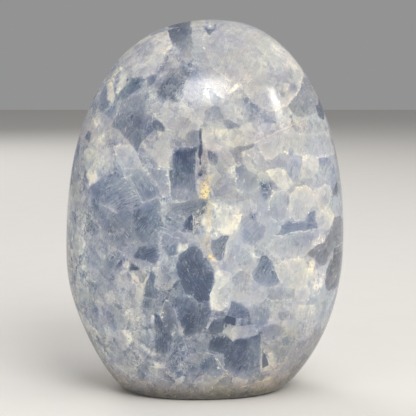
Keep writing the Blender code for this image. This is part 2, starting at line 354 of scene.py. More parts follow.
    ("rimmed", 0.6, (21, 64.8, 21.3, 69.5, 23, 72.2, 26.5, 73.1, 28.6, 71.6, 28, 67.5, 28.5, 64, 24.4,
     62.6), 0, (0, 0), 85),
    ("grey", 0.48, (25.6, 69, 28, 72, 28.2, 69.6, 27.6, 67.6)),
    ("rimmed", 0.73, (28.3, 71, 30.5, 74, 34, 74.6, 37, 72, 37.2, 68.5, 35.5, 67.3, 33.5, 64, 30.5,
     62.6, 28.5, 65, 28.1, 68), 0.3),
    ("rimmed", 0.7, (37.2, 73, 41, 74.6, 43.2, 72, 42, 67.3, 38.6, 66.3, 37.3, 69), 0.3),
    ("milky", 0.78, (37.6, 66, 42, 67, 44.4, 63, 42.4, 59, 38.2, 59.6, 37.4, 62), 0.3),
    ("window", 0.34, (22.3, 58.3, 24.5, 59, 25.5, 61.4, 28, 63.2, 30.5, 62.1, 33.4, 62.6, 34.8, 65.6,
     36.9, 66.2, 37.3, 62, 38, 59.9, 33, 59.5, 30, 59.1, 26, 58.1), 0, (0, 0), 5),
    ("pane", 0.58, (22.8, 57.2, 30, 58.9, 38, 59.4, 39.6, 56.6, 36.4, 54, 33.2, 50.6, 28, 50.8, 23.2,
     51, 20.3, 54), 0, (0, 0), 80),
    ("shade", 0.54, (29.8, 57, 33.8, 56.6, 34.2, 52.6, 30.8, 52.2)),
    ("cloud", 0.8, (36.3, 54.6, 38.6, 58, 41.6, 58.4, 40.6, 55.3, 38.4, 53.8), 0.3),
    ("rimmed", 0.74, (23.3, 48, 28, 50.2, 33.2, 50, 35.2, 46, 34.6, 41, 30.6, 39.7, 26.5, 40.9, 24.4,
     44.4), 0.2),
    ("cloud", 0.77, (33.2, 49.7, 36, 49.6, 38.6, 46.6, 40.8, 45.6, 41.4, 43.5, 40.2, 40.5, 38.6, 38.5,
     37.8, 35.6, 36.2, 36.6, 35.8, 41, 35.3, 44.4), 0.3),
    ("grey", 0.33, (44.3, 63, 47, 63, 50, 58, 48, 53.6, 44, 52.4, 43, 50, 41, 46.8, 39, 46.8, 36.9,
     49.4, 35, 50.9, 33.3, 50.4, 35.5, 52.6, 38, 54.2, 40.2, 54.7, 41.6, 57.6, 43, 60.2), 0.9, (0.006,
     0), 60),
    ("milky", 0.22, (43.6, 52.3, 47.6, 53, 47.8, 50.3, 44, 49.8), 1),
    ("grey", 0.27, (44.4, 50, 48.6, 50.4, 48.6, 44, 46.6, 38, 43.3, 37.2, 41.4, 38.4, 40.7, 41.5, 41.4,
     45.5, 42.8, 48.4), 1.3, (0, 0), 70),
    ("window", 0.34, (15.4, 45.6, 17.4, 48, 19, 51.3, 20.6, 51.7, 22.6, 49.2, 23.1, 46.4, 25.2, 42.8,
     24.2, 41.4, 21, 40.6, 18.2, 41.2, 16.4, 43), -0.3, (-0.006, -0.024), 60),
    ("pane", 0.55, (18.4, 41.3, 24.3, 41.3, 27, 40.6, 30.6, 39.7, 30.3, 37, 24.4, 35.6, 20, 37.2)),
    ("pane", 0.72, (30.6, 39.7, 34.8, 41.2, 35.8, 38, 35, 35.6, 31, 35.4, 30.2, 37), 0.2),
    ("grey", 0.5, (34.2, 38.8, 35.2, 37, 34.6, 35, 33.6, 36)),
    # The great dark window and the white and ochre pieces round it
    ("flake", 0.9, (3.2, 46.4, 6, 46.8, 8.8, 45.8, 9.4, 42, 8.8, 38.5, 7.6, 34.6, 5.4, 32.4, 2.2, 33.4,
     1.6, 36.6, 2, 39, 3.4, 43), 0.2, (-0.042, 0)),
    ("milky", 0.68, (0.4, 53.2, 2, 51, 3.4, 50, 5.4, 49.8, 4, 45.8, 3.2, 46), 0.5),
    ("window", 0.11, (-9, 51.4, -6.5, 53.1, -5, 54.6, -2.5, 54.9, -1, 53, 1.5, 49.6, 3.1, 46, 3.1, 43.4,
     2, 40.4, 1.7, 36.4, 0.8, 35.4, -1.5, 36.1, -4, 37.9, -6.5, 38.5, -7.5, 41.4, -9, 45, -9.3, 48.5),
     0, (0.001, 0.002), 118),
    ("shade", 0.34, (-2.4, 54.6, -1, 53, 1.5, 49.6, 3, 46.2, 1.6, 46.4, -1, 49.6, -3.6, 53.4)),
    ("flake", 0.79, (-9.3, 53, -8.4, 56.2, -5, 55.5, -6.6, 53.2), 0.3),
    ("milky", 0.59, (-1.9, 59, 0.5, 58, 2, 56.6, 1.9, 53.8, 2.8, 51.4, 1.8, 50.1, 0.4, 52.2, -1, 54.4),
     0.6),
    ("shade", 0.45, (-15, 54.4, -12.6, 55, -9.3, 54, -9.3, 49, -14.6, 50.2)),
    ("grey", 0.3, (-12.8, 53.4, -10.6, 55.4, -9.2, 56, -9.4, 52, -12, 51.4)),
    ("milky", 0.54, (-16.4, 46.4, -13, 48.4, -10, 47.8, -9.3, 44, -10.8, 40.6, -14, 40.2, -16.4, 42.6),
     0.3),
    ("cloud", 0.7, (-27, 48.4, -24.9, 49.8, -24.7, 45.8, -19.6, 47.6, -17.8, 45, -19, 41.4, -24, 40.6,
     -29, 42, -31, 45.6), 0.3),
    ("grey", 0.02, (-24.4, 51.2, -25, 46.2, -22.4, 46.6, -20, 48.3, -22, 49.5)),
    ("window", 0.2, (-17.9, 47.4, -16.2, 45, -16.8, 41, -14.8, 39.6, -15.8, 36.4, -20.9, 37.6, -20.1,
     41, -18.7, 44), 0, (0.01, 0), 100),
    ("shade", 0.38, (-15, 40, -11, 38, -9, 40.6, -8, 38.6, -9, 36, -13, 36, -15.6, 36.6), 0.5),
    # Lower middle
    ("shade", 0.24, (-20.6, 37.4, -16, 36.4, -17, 31, -21, 31.4)),
    ("window", 0.2, (-9.2, 36.6, -6.2, 38.3, -4, 37.6, -1.4, 35.8, 2.2, 35.4, 2.4, 32.4, 1, 28, -4,
     24.4, -6.1, 23.9, -7.9, 28.4, -9.1, 32), 0, (0, 0.004), 75),
    ("shade", 0.0, (-7.6, 29.6, -5.4, 33, -3, 30.4, -4, 27, -6.6, 25.4)),
    ("window", 0.13, (-16.7, 31.6, -15.2, 31.4, -14, 29, -12.6, 26.5, -10.6, 24, -11.4, 19, -13.6, 17.4,
     -16.5, 18), 0, (0.004, -0.008), 85),
    ("pane", 0.24, (-14.9, 31.6, -14.2, 34, -12.9, 37, -11.4, 35.6, -9.7, 33, -9.4, 29.6, -10.4, 27,
     -12, 24.4, -13.4, 27), 0.4, (0, 0), 60),
    ("flake", 0.58, (-9.1, 29, -8.3, 30.4, -7.7, 27, -7.5, 24.4, -8.6, 25.6), 0.2),
    ("flake", 0.82, (-17.3, 31.6, -16.8, 30.2, -17.0, 27.4, -17.8, 28.6)),
    ("flake", 0.75, (-18.9, 26, -17.2, 26.6, -16.9, 22.2, -17.9, 23), -0.3),
    ("grey", 0.24, (7.1, 31, 8.8, 36.4, 12, 35.6, 14.6, 33.6, 15.4, 30.4, 10.2, 30.4), 0, (0, 0), 60),
    ("grey", 0.46, (15.4, 30.4, 14.8, 34, 16, 35.2, 20, 36.2, 22.2, 32, 21, 28.4, 19, 27.4, 16.4, 28)),
    ("grey", -0.15, (6.2, 28.9, 7, 31.6, 10.3, 30.7, 10.1, 27.5, 8, 28.2)),
    ("grey", 0.16, (0.4, 25.4, 3, 30, 6.3, 30.7, 6.9, 28.6, 6.1, 25.4, 3, 24.5)),
    ("milky", 0.32, (1.2, 28.4, 3, 33, 6.6, 32.8, 7.2, 31.4, 6, 30.4, 3, 29.8), 0.4),
    ("milky", 0.41, (-8, 24, -4.6, 24.4, 0.2, 25.4, 1.4, 22.8, 0.8, 18.4, -6.6, 18.4)),
    ("window", 0.14, (1.4, 22.8, 4, 24.2, 7, 24.2, 9, 22.7, 11, 23.5, 14, 23.5, 18.6, 24.6, 18.8, 20,
     18.7, 10, 14, 8, 9.5, 9.6, 6.6, 13, 6.4, 18, 3, 18.8, 1, 20.4), 0, (0.003, -0.014), 55),
    ("flake", 0.64, (6.1, 25.7, 8, 28.4, 11, 27.6, 16, 28.2, 17.6, 26.5, 18.1, 24.6, 14, 23.5, 11, 23.4,
     9.6, 22.3, 7.5, 24), 0.2, (-0.009, -0.02)),
    ("shade", 0.36, (14.4, 23, 18.6, 24.2, 18.6, 11, 14, 9.4), 0.3),
    ("milky", 0.42, (-7, 18, 0.8, 18.4, 2.6, 18.2, -1.4, 14.6, -1, 11.4, -7, 10), 0.3),
    ("grey", 0.24, (-1.7, 14.4, 1, 17, 3.6, 16.7, 5.1, 12.5, 6.4, 10.1, 3, 9.3, -0.6, 11.3), 0, (0, 0),
     85),
    ("pane", 0.41, (1, 17.6, 3.8, 17.2, 6.4, 18, 6.7, 13, 8.2, 10.6, 6.4, 10.2, 5.1, 12.7, 3.6, 16.8)),
    # Lower right
    ("milky", 0.64, (18.9, 24.8, 22.2, 24, 22, 20.6, 24.6, 12, 22.4, 11, 19, 11), 0.7),
    ("grey", 0.14, (19.4, 20.6, 20.2, 18.6, 21.6, 15.6, 22.1, 12.8, 19.5, 12.3), 0.9),
    ("milky", 0.66, (30.8, 34, 37, 33.6, 37.6, 27, 34.4, 21, 31, 20, 30.6, 26), 0.2, (0, 0), 85),
    ("grey", 0.46, (22.6, 21, 25.4, 20.4, 28.6, 17.4, 27.6, 13.6, 24, 12.6, 22.8, 16), 0.6),
    ("grey", 0.47, (19.2, 27, 23.4, 27.8, 27.2, 27, 28, 24, 25.6, 22, 20, 21.8), 0.5),
    ("grey", 0.38, (26, 22.6, 28.4, 23.4, 30.8, 21.4, 30, 19.6, 26.8, 19.8), 0.2),
    ("milky", 0.62, (20, 33, 24.4, 33, 25, 28.6, 21.2, 28.4), 0.3),
    ("grey", 0.54, (24.8, 31.8, 28.6, 32.6, 30.6, 30.8, 29.8, 28.8, 25.4, 28.6), 0.2),
    # Lower left
    ("shade", 0.6, (-40, 52, -33, 53, -31, 47, -36, 44, -41, 46)),
    ("shade", 0.48, (-37, 48, -31, 48, -30.6, 43.6, -36.4, 44)),
    ("shade", 0.64, (-41, 38, -28, 42, -20, 41, -22, 35, -34, 32, -42, 33)),
    ("shade", 0.5, (-32, 34, -28.4, 35.6, -26.8, 28, -31, 27)),
    ("shade", 0.59, (-36, 27, -28, 27, -28, 22.4, -36, 23.4), -0.4),
    ("shade", 0.36, (-22, 25, -17.6, 24.4, -17, 17, -22, 17), -0.4),
    ("cloud", 0.88, (-27.6, 25.4, -25.2, 25.6, -24.2, 22, -25.6, 20.4, -26.4, 23), -0.5),
    ("cloud", 0.76, (-21.6, 20.6, -19.6, 20.2, -16.6, 17.4, -18.2, 16.8, -20.4, 18.6), -0.4),
    ("cloud", 0.8, (-19, 15.2, -14.6, 13.8, -12.6, 14.6, -13.4, 12.4, -16.8, 12.8)),
    ("flake", 0.7, (0.5, 27.4, 1.9, 29.9, 2.4, 29.6, 1.2, 27)),
    ("flake", 0.72, (-11.2, 24.6, -9.8, 26.2, -9.5, 25.8, -10.7, 24.3)),
    # Fades the lowest crystals into the foot's painted shade and warm reflection
    ("shade", 0.45, (-8, 7.6, 20, 8, 20, 12, 14, 11, 6, 12.5, -6, 11.6), 1),
)

# The ochre stain along the middle seam, as soft round spots: centre and radius in mm, strength
STAIN = (
    (1.3, 77.2, 1.2, 0.4), (-0.3, 75.4, 0.9, 0.8), (0.6, 74.4, 1.0, 1.0), (-0.5, 73.0, 1.0, 0.9),
    (1.1, 73.0, 0.8, 0.9), (0.2, 71.7, 1.2, 1.0), (-1.1, 71.3, 0.6, 0.7), (1.7, 69.7, 0.5, 0.4),
    (1.0, 58.4, 0.9, 0.5), (-3.2, 60.2, 0.5, 0.4), (1.4, 55.0, 0.6, 0.45), (0.0, 56.6, 0.8, 0.35),
    (1.9, 51.3, 0.8, 1.0), (2.8, 50.5, 0.7, 0.9), (-41.8, 30.6, 0.45, 1.0),
    (1.2, 67.4, 1.0, 0.30), (1.5, 65.4, 1.1, 0.28), (1.4, 63.2, 1.1, 0.28), (1.2, 61.0, 1.1, 0.3),
)

# Where the polish is pitted and sparkles, round the broad highlight: spots as in the stain. There the grit
# roughens the polish more, and pale and dark flecks in the colour are partly a painted sparkle
PITTED_SPARKLE_SPOTS = ((1, 107, 6, 1.0), (10, 106, 4.5, 0.8), (-4, 112, 4.5, 0.5))

# Fine pale fractures on the front, and one painted highlight drawn as a fracture: x and z of the start,
# x and z of the end, half width, all in mm, and strength
FRACTURES = (
    (-31.2, 89, -20.2, 69, 0.22, 0.6), (-12.1, 80.4, -10.9, 70.2, 0.42, 0.95),
    (-12.6, 125.6, -10.9, 120, 0.3, 0.6), (-3.9, 66, -3.5, 58, 0.3, 0.7),
    (-33, 87.6, -25, 88.2, 0.5, 0.5), (4, 45.4, 7.2, 55.4, 0.3, 0.6),
    (7.4, 55.4, 12.2, 61.8, 0.25, 0.4), (13.9, 85.6, 17.6, 81.8, 0.35, 0.8),
    (15.6, 86.4, 18.4, 83, 0.25, 0.4), (15.8, 88.4, 21.5, 91.4, 0.35, 0.7),
    (21, 91, 31.5, 95.6, 0.4, 0.6), (17, 87.2, 22, 90, 0.3, 0.5), (22.8, 57.8, 30, 59, 0.35, 0.85),
    (29.6, 59, 38, 59.7, 0.3, 0.8), (32.2, 106.6, 27.2, 100.6, 0.25, 0.5),
    (33.4, 113, 32.2, 106.8, 0.2, 0.4), (20, 19.2, 22.2, 13, 0.4, 0.7), (22, 13.4, 24.4, 11, 0.4, 0.6),
    (23.2, 47.4, 26.4, 41, 0.25, 0.6), (-7.2, 24, -5.6, 18.6, 0.3, 0.6), (-8.3, 17, -8, 12, 0.3, 0.5),
    (0.4, 18.8, 3.8, 17, 0.35, 0.6), (4, 16.4, 7.8, 10.2, 0.35, 0.6), (12, 5, 23, 8, 0.4, 0.5),
    # (-43.4, 66) to (-43.2, 60) is a painted highlight, the thin glint down the left rim, not a fracture
    (-19, 13, -12.6, 12.6, 0.4, 0.6), (-43.4, 66, -43.2, 60, 0.3, 0.5),
    (31.4, 75.2, 29, 72.8, 0.25, 0.5), (28.4, 72.4, 28.4, 65, 0.25, 0.5),
    (37.2, 73.6, 37.3, 67, 0.25, 0.4), (-26.6, 111, -22, 110, 0.25, 0.5),
    (-13.2, 93.4, -9.6, 92.6, 0.4, 0.7), (-15.2, 81.3, -12.6, 80.6, 0.5, 0.8),
    (-9.3, 69, -5, 70.2, 0.3, 0.5), (6, 50.4, 6.4, 52.6, 0.2, 0.5), (-20.4, 68.9, -15, 71.2, 0.25, 0.4),
    (33.6, 49.6, 35.6, 44, 0.3, 0.6), (44, 49.8, 40.9, 41.6, 0.25, 0.4),
    (19.2, 24.6, 19.1, 9, 0.2, 0.35), (14.6, 97, 24, 99.6, 0.3, 0.3),
    (12.8, 107.4, 17, 110.6, 0.35, 0.5), (-16.6, 60.6, -8, 57, 0.4, 0.5),
    (-35, 68.4, -29, 65.6, 0.4, 0.4),
)

# How crystals are laid in layers, in mm: depth where nothing shows, room kept between the crystals
# of one layer, overlap that counts and on how many points, the sum of a height on the front and
# the same height turned upside down, and how near the rim's plane the crystals start to slant
FAR = -5.0
CLEARANCE = 0.9
OVERLAP = 0.4
OVERLAP_POINTS = 12
BACK_TURN = 127.0
RIM_DEPTH = 10.0
# A crystal's uneven tone from side to side, its greatest slant near the rim, and where it stops
# behind the rim's plane in mm
UNEVENNESS = 0.08
SLANT = 0.6
STOP_NEAREST = 0.5
STOP_FARTHEST = 7.0
# What a crystal has where its row says no more: warmth, slope and the fibres' angle
PLAIN = (0.0, (0.0, 0.0), 80.0)
# The broad areas, and all looks that tint whatever lies beneath them; and the least fibre with which
# a crystal turns the grain its own way
AREAS = ("zone", "calm", "foot")
VEILS = AREAS + ("shade", "cloud", "speckled")
FIBROUS = 0.1
# The ground before any crystal: tone, warmth and cloud. The grain: fibre and cloud. An empty layer:
# depth, tone, warmth and cover, then soft, line and ragged
BARE_GROUND = (0.55, 0.1, 0.8)
BARE_GRAIN = (0.15, 0.8)
EMPTY_BODY = (FAR, 0.5, 0.0, 0.0)
EMPTY_EDGE = (0.3, 0.0, 0.3)
# Where the grain starts: how fast it runs along x, y and z, how y slants a crystal's fibres, and
# what sets one crystal's fibres apart from the next one's
GROUND_RUN = (0.9, 0.4, 0.9)
FIBRE_SLANT = 0.45
FIBRE_SHIFT = 7.3
# Where smooth steps start and end, in mm: a crystal's paler veil by depth, and a fracture's
# strength along its ends and to its sides
VEIL_STEP = (-2.2, 0.2)
END_STEP = (-0.6, 0.8)
SIDE_STEP = (-1.5, -0.8)
# Waves that bend the outlines, the fractures and the crystals' ends: length, reach in mm, seeds
OUTLINE_WANDER = (4.5, 0.26, (3, 4))
FRACTURE_WANDER = (3.0, 0.3, (5, 6))
STOP_WOBBLE = (9.0, 1.2, (9,))
WAVE_COUNT = 9


def slow_waves(points, size, seed):
    """Smooth unevenness, about -1 to 1: sine waves in random directions, summed and evened out.

    Their lengths are 0.6 to 1.7 times the size, and their mean is raised 1.8 times.
    """
    random = np.random.default_rng(seed)
    ways = random.normal(size=(WAVE_COUNT, 3))
    ways /= np.linalg.norm(ways, axis=1)[:, None]
    lengths = size * random.uniform(0.6, 1.7, WAVE_COUNT)
    starts = random.uniform(0, 2 * np.pi, WAVE_COUNT)
    return np.sin(points @ (ways * (2 * np.pi / lengths[:, None])).T + starts).mean(axis=1) * 1.8


def wander(points, size, reach, seeds):
    """One column of slow waves for each seed, as far as reach either way."""
    return np.column_stack([slow_waves(points, size, seed) for seed in seeds]) * reach


def ease(value, start, end):
    """Smooth step from 0 at start to 1 at end."""
    share = np.clip((value - start) / (end - start), 0, 1)
    return share * share * (3 - 2 * share)


def turned(outline):
    """The outline turned upside down for the back, where the same crystals come through."""
    return np.column_stack((-outline[:, 0], BACK_TURN - outline[:, 1]))


def depth_inside(outline, x, z):
    """Distance in mm from each point to the outline: positive inside it, negative outside.

    The nearest of the outline's straight sides gives the distance, and the number of sides crossed
    on the way left gives the sign.
    """
    nearest = np.full(x.shape, np.inf)
    inside = np.zeros(x.shape, dtype=bool)
    for (ax, az), (bx, bz) in zip(outline, np.roll(outline, -1, axis=0)):
        side_x, side_z = bx - ax, bz - az
        along = ((x - ax) * side_x + (z - az) * side_z) / (side_x ** 2 + side_z ** 2)
        along = np.clip(along, 0, 1)
        nearest = np.minimum(nearest, np.hypot(x - ax - along * side_x, z - az - along * side_z))
        if side_z:
            crossed = (az > z) != (bz > z)
            inside ^= crossed & (x < ax + (z - az) * side_x / side_z)
    return np.where(inside, nearest, -nearest)


def crystal_depth(outline, x, y, z, side, stop):
    """Points near one crystal and their depth in it: a prism through the front or back half.

    The depth is the smaller of the depth inside the outline and the distance to the plane where
    the crystal stops, near the rim.
    """
    low, high = outline.min(axis=0) + FAR, outline.max(axis=0) - FAR
    near = (x > low[0]) & (x < high[0]) & (z > low[1]) & (z < high[1]) & (side * (y - stop) > FAR)
    near = np.flatnonzero(near)
    depth = np.minimum(depth_inside(outline, x[near], z[near]), side * (y[near] - stop[near]))
    return near, np.clip(depth, FAR, None)


def pick_layer(layers, near, depth, count):
    """The lowest layer where a crystal clears its neighbours and lies above those it overlaps.

    Where every layer is taken, a new one is added: far outside any edge, and with no cover.
    """
    lowest, taken = 0, set()
    for number, (body, edge) in enumerate(layers):
        there = body[near, 0]
        if ((depth > -CLEARANCE) & (there > -CLEARANCE)).any():
            taken.add(number)
        if np.count_nonzero((depth > OVERLAP) & (there > OVERLAP)) > OVERLAP_POINTS:
            lowest = number + 1
    while lowest in taken:
        lowest += 1
    if lowest == len(layers):
        layers.append((np.tile(EMPTY_BODY, (count, 1)), np.tile(EMPTY_EDGE, (count, 1))))
    return layers[lowest]


def lay_veil(near, weight, target, ground, layers):
    """Blends an area's tone, warmth and cloud into the ground, and its tone into every layer."""
    ground[near] += (target - ground[near]) * weight[:, None]
    for body, edge in layers:
        body[near, 1] += (target[:, 0] - body[near, 1]) * weight


def lay_body(layer, near, depth, tones, warm, values):
    """Writes a crystal in its layer, on the points deeper in it than in their present crystal."""
    body, edge = layer
    nearer = depth > body[near, 0]
    chosen = near[nearer]
    body[chosen, 0] = depth[nearer]
    body[chosen, 1] = tones[nearer]
    body[chosen, 2:] = warm, values["cover"]
    edge[chosen] = values["soft"], values["line"], values["ragged"]


def lay_crystals(points):
    """Works out every crystal's share of the surface, front and back, lowest first.

    Returns the ground's tone, warmth and cloud, the layers of crystals, and the grain on top. A
    layer has two rows per point: depth, tone, warmth and cover, then soft, line and ragged. A point
    takes its values from the crystal whose edge it is deepest inside or nearest to. Near the rim
    each crystal's outline slides up or down with the distance from the front or back, at a slant of
    its own, so the crystals lie at odd angles across the stone's sides.
    """
    count = len(points)
    x, z = (points[:, (0, 2)] + wander(points, *OUTLINE_WANDER)).T
    y = points[:, 1]
    wobble = wander(points, *STOP_WOBBLE)[:, 0]
    random = np.random.default_rng(11)
    slants = np.random.default_rng(12)
    ground = np.tile(BARE_GROUND, (count, 1))
    bare = np.tile(BARE_GRAIN, (count, 1))
    grain = np.column_stack((x * GROUND_RUN[0] + y * GROUND_RUN[1], z * GROUND_RUN[2], bare))
    layers = []
    for number, (look, tone, outline, *rest) in enumerate(CRYSTALS):
        warm, slope, angle = tuple(rest) + PLAIN[len(rest):]
        values = LOOKS[look]
        outline = np.array(outline, dtype=float).reshape(-1, 2)
        lean = random.uniform(0, 2 * np.pi)
        slant = 0.0
        if look not in AREAS:
            slant = slants.uniform(-SLANT, SLANT)
            if slope == (0.0, 0.0):
                reach = np.ptp(outline, axis=0).mean() / 2
                slope = (UNEVENNESS / reach * np.cos(lean), UNEVENNESS / reach * np.sin(lean))
        turn = np.radians(angle)
        for side in (-1, 1):
            # The foot's painted shade and warm reflection stay at the bottom on the back too, not turned
            # over
            shape = turned(outline) if side > 0 and look != "foot" else outline
            stop = random.uniform(STOP_NEAREST, STOP_FARTHEST) + wobble + slant * (z - shape[0, 1])
            slid = z + slant * np.maximum(RIM_DEPTH - side * y, 0)
            near, depth = crystal_depth(shape, x, y, slid, side, stop)
            middle = shape.mean(axis=0)
            tones = slope[0] * (x[near] - middle[0]) + slope[1] * (z[near] - middle[1])
            tones = tone - side * tones + values["veil"] * ease(-depth, *VEIL_STEP)
            weight = values["cover"] * ease(depth, -values["soft"], values["soft"])
            if look in VEILS:
                target = np.column_stack((tones, np.tile((warm, values["cloud"]), (len(near), 1))))
                lay_veil(near, weight, target, ground, layers)
            else:
                lay_body(pick_layer(layers, near, depth, count), near, depth, tones, warm, values)
            if values["fibre"] > FIBROUS and look not in AREAS:
                inner = near[depth > 0]
                across = np.cos(turn) * z - np.sin(turn) * x + FIBRE_SLANT * y + number * FIBRE_SHIFT
                along = np.cos(turn) * x + np.sin(turn) * z
                grain[inner, :2] = np.column_stack((across[inner], along[inner]))
            strengths = np.tile((values["fibre"], values["cloud"]), (len(near), 1))
            grain[near, 2:] += (strengths - grain[near, 2:]) * weight[:, None]
    return ground, layers, grain


def lay_fractures(points):
    """Layers of fractures: signed distance across each, its strength there and its half width, in mm.

    The strength fades at both ends of a fracture and 1.5 mm away from it.
    """
    x, z = (points[:, (0, 2)] + wander(points, *FRACTURE_WANDER)).T
    layers = []
    for *ends, width, strength in FRACTURES:
        for side in (-1, 1):
            line = np.array(ends, dtype=float).reshape(2, 2)
            if side > 0:
                line = turned(line)
            run = line[1] - line[0]
            length = np.hypot(*run)
            along = ((x - line[0, 0]) * run[0] + (z - line[0, 1]) * run[1]) / length
            across = ((x - line[0, 0]) * run[1] - (z - line[0, 1]) * run[0]) / length
            fade = ease(along, *END_STEP) * ease(length - along, *END_STEP)
            fade *= ease(-np.abs(across), *SIDE_STEP)
            fade *= side * points[:, 1] > 0
            lay_one(layers, np.column_stack((across, fade * strength, np.full(len(x), width))))
    return layers


def lay_one(layers, rows):
    """Puts a fracture's rows in the first layer where it meets no other."""
    seen = rows[:, 1] > 0
    for layer in layers:
        if not (seen & (layer[:, 1] > 0)).any():
            layer[seen] = rows[seen]
            return
    layer = np.tile((FAR, 0.0, 0.3), (len(rows), 1))
    layer[seen] = rows[seen]
    layers.append(layer)


def spots_on_front(points, spots):
    """Strength of the strongest of a few soft round spots, on the front only.

    A spot is at its full strength within half its radius, and fades out at 1.4 times its radius.
    """
    strength = np.zeros(len(points))
    for x, z, radius, amount in spots:
        away = np.hypot(points[:, 0] - x, points[:, 2] - z)
        strength = np.maximum(strength, amount * ease(-away, -1.4 * radius, -0.5 * radius))
    return np.where(points[:, 1] < 0, strength, 0.0)


def store(mesh, name, rows, kind):
    """Writes one row per point into the mesh as an attribute."""
    attribute = mesh.attributes.new(name, kind, "POINT")
    field = {"FLOAT": "value", "FLOAT_VECTOR": "vector", "FLOAT_COLOR": "color"}[kind]
    attribute.data.foreach_set(field, np.ascontiguousarray(rows, dtype=np.float32).ravel())


def make_stone():
    """The stone as a closed mesh with its crystals, fractures and stain written on its points."""
    points, quads, triangles = stone_grid()
    mesh = bpy.data.meshes.new("polished_stone")
    mesh.from_pydata(points.tolist(), [], quads.tolist() + triangles.tolist())
    mesh.shade_smooth()
    mesh.update()

    places = points / MM
    ground, layers, grain = lay_crystals(places)
    store(mesh, "ground", ground, "FLOAT_VECTOR")
    store(mesh, "grain", grain, "FLOAT_COLOR")
    for number, (body, edge) in enumerate(layers):
        store(mesh, f"crystal_{number}", body, "FLOAT_COLOR")
        store(mesh, f"edge_{number}", edge, "FLOAT_VECTOR")
    fractures = lay_fractures(places)
    for number, rows in enumerate(fractures):
        store(mesh, f"fracture_{number}", rows, "FLOAT_VECTOR")
    store(mesh, "stain", spots_on_front(places, STAIN), "FLOAT")
    store(mesh, "pitted_sparkle", spots_on_front(places, PITTED_SPARKLE_SPOTS), "FLOAT")

    stone = bpy.data.objects.new("polished_stone", mesh)
    bpy.context.collection.objects.link(stone)
    return stone, len(layers), len(fractures)


# Palette from clear slate through grey blue to milky white, then cream: tone, and colour as 0 to 255
TONES = (
    (0.00, (64, 76, 101)), (0.15, (86, 97, 120)), (0.32, (116, 126, 145)), (0.48, (144, 150, 165)),
    (0.62, (168, 171, 180)), (0.78, (193, 194, 196)), (0.90, (214, 212, 206)), (1.00, (234, 230, 217)),
)
OCHRE = (216, 172, 104)
YELLOW = (240, 214, 132)
PALE_YELLOW = (250, 238, 196)

# Noises by what they shape: size of a blob in metres, then detail, roughness and warp
NOISES = {
    "busy": (0.0055, 2.0), "waver": (0.0014, 4.0, 0.6), "soften": (0.0065, 1.0),
    "flaws": (0.0010, 2.0, 0.6), "breaks": (0.0036, 3.0), "feather": (0.0012, 3.0, 0.6),
    "clouds": (0.0055, 3.0, 0.55, 0.8), "fine": (0.0011, 3.0, 0.65), "pits": (0.0005, 1.0),
    "fibre places": (0.0045, 2.0), "wisps": (0.0075, 5.0, 0.6, 1.2), "wisp places": (0.004,),
    "large flecks": (0.0007, 1.0), "small flecks": (0.0004, 1.0), "needle places": (0.0048, 2.0),
    "near drift": (0.0042, 2.0), "wide drift": (0.016, 2.0), "green": (0.008, 2.0),
    "specks": (0.0006, 2.0, 0.6), "ochre": (0.0011, 2.0), "grit": (0.00045, 1.0), "board": (0.02, 4.0),
}
# Smooth steps that some noises go through: start and end, then values there if not 0 and 1
STEPS = {
    "busy": (0.40, 0.66, 0.25, 1.6), "soften": (0.42, 0.72, 0.5, 4.5), "flaws": (0.57, 0.66, 0.0, 2.6),
    "breaks": (0.38, 0.62), "feather": (0.36, 0.60, 0.15, 1.0), "pits": (0.24, 0.38, -0.30, 0.0),
    "fibre places": (0.40, 0.62, 0.35, 1.35), "wisp places": (0.42, 0.65),
    "large flecks": (0.63, 0.73, 0.0, 0.5), "small flecks": (0.67, 0.75, 0.0, 0.5),
    "needle places": (0.46, 0.62), "ochre": (0.53, 0.64),
}

# Facets, large to tiny: size in metres and turn in radians. Then their proportions, the reach and
# blob size of the noise that bends them, beside their size, the reach and slant of their tone, and
# the width of their borders in metres
FACETS = ((0.0052, (0.4, 0.7, 0.3)), (0.0025, (1.1, 0.2, 0.9)), (0.0011, (0.2, 1.3, 0.5)))
FACET_SHAPE = (1.0, 1.35, 0.8)
FACET_BEND = 0.45
FACET_BEND_SIZE = 0.7
FACET_TONE = 0.7
FACET_SLANT = 4.5
FACET_BORDER = 0.00028
# Share of the large and the small facets in the ground's tone, and in the pale lines
GROUND_SHARES = (0.15, 0.11)
SMALL_BORDER = 0.6
BORDER_LINE = 0.35
# Share of the facets in the crystals' tone: cloudiness times the first, plus the second
CUT_SHARE = (0.055, 0.012)
CHIP_SHARE = 0.065

# Crystal edges: unevenness in mm, how much a firm line keeps an edge crisp, width of the pale
# line in mm, and where the chips beside it end in mm
WAVER = 1.3
CRISP = 1.8
RIM_WIDTH = 0.34
CHIP_WIDTH = (0.3, 1.1)
# Contrast of all crystal tones, and what centres it again
CONTRAST = 1.08
CONTRAST_SHIFT = -0.048
# Share of the edges' unevenness in a fracture
CRACK_WAVER = 0.10
# Share in the tone of the clouds, of the fine grain (busy places and everywhere) and the fibres
CLOUD_SHARE = 0.45
FINE_SHARE = (0.50, 0.06)
FIBRE_SHARE = 0.75
# Fibres and needles: frequency per mm across and along, the needles' beside the fibres', and their step
FIBRE_ACROSS = 2.0
FIBRE_ALONG = 0.22
FIBRE_NOISE = (1.0, 3.0, 0.6, 0.9)
NEEDLE_SHAPE = (0.8, 1.6, 1.0)
NEEDLE_NOISE = (1.0, 2.0)
NEEDLE_STEP = (0.60, 0.72, 0.0, 0.5)
# Half width of a wisp in its noise, share of the wisps in the pale lines, and the pale lines' tone
WISP_WIDTH = 0.020
WISP_SHARE = 0.75
LINE_TONE = 1.02
# How much busier with fine marks the stone is where the polish is pitted: pale and dark flecks in the
# colour that partly paint the sparkle round the broad highlight
PITTED_SPARKLE_FLECKS = 0.35

# Drift of the warmth with the two drift noises
DRIFTS = (("near drift", 1.3), ("wide drift", 1.9))
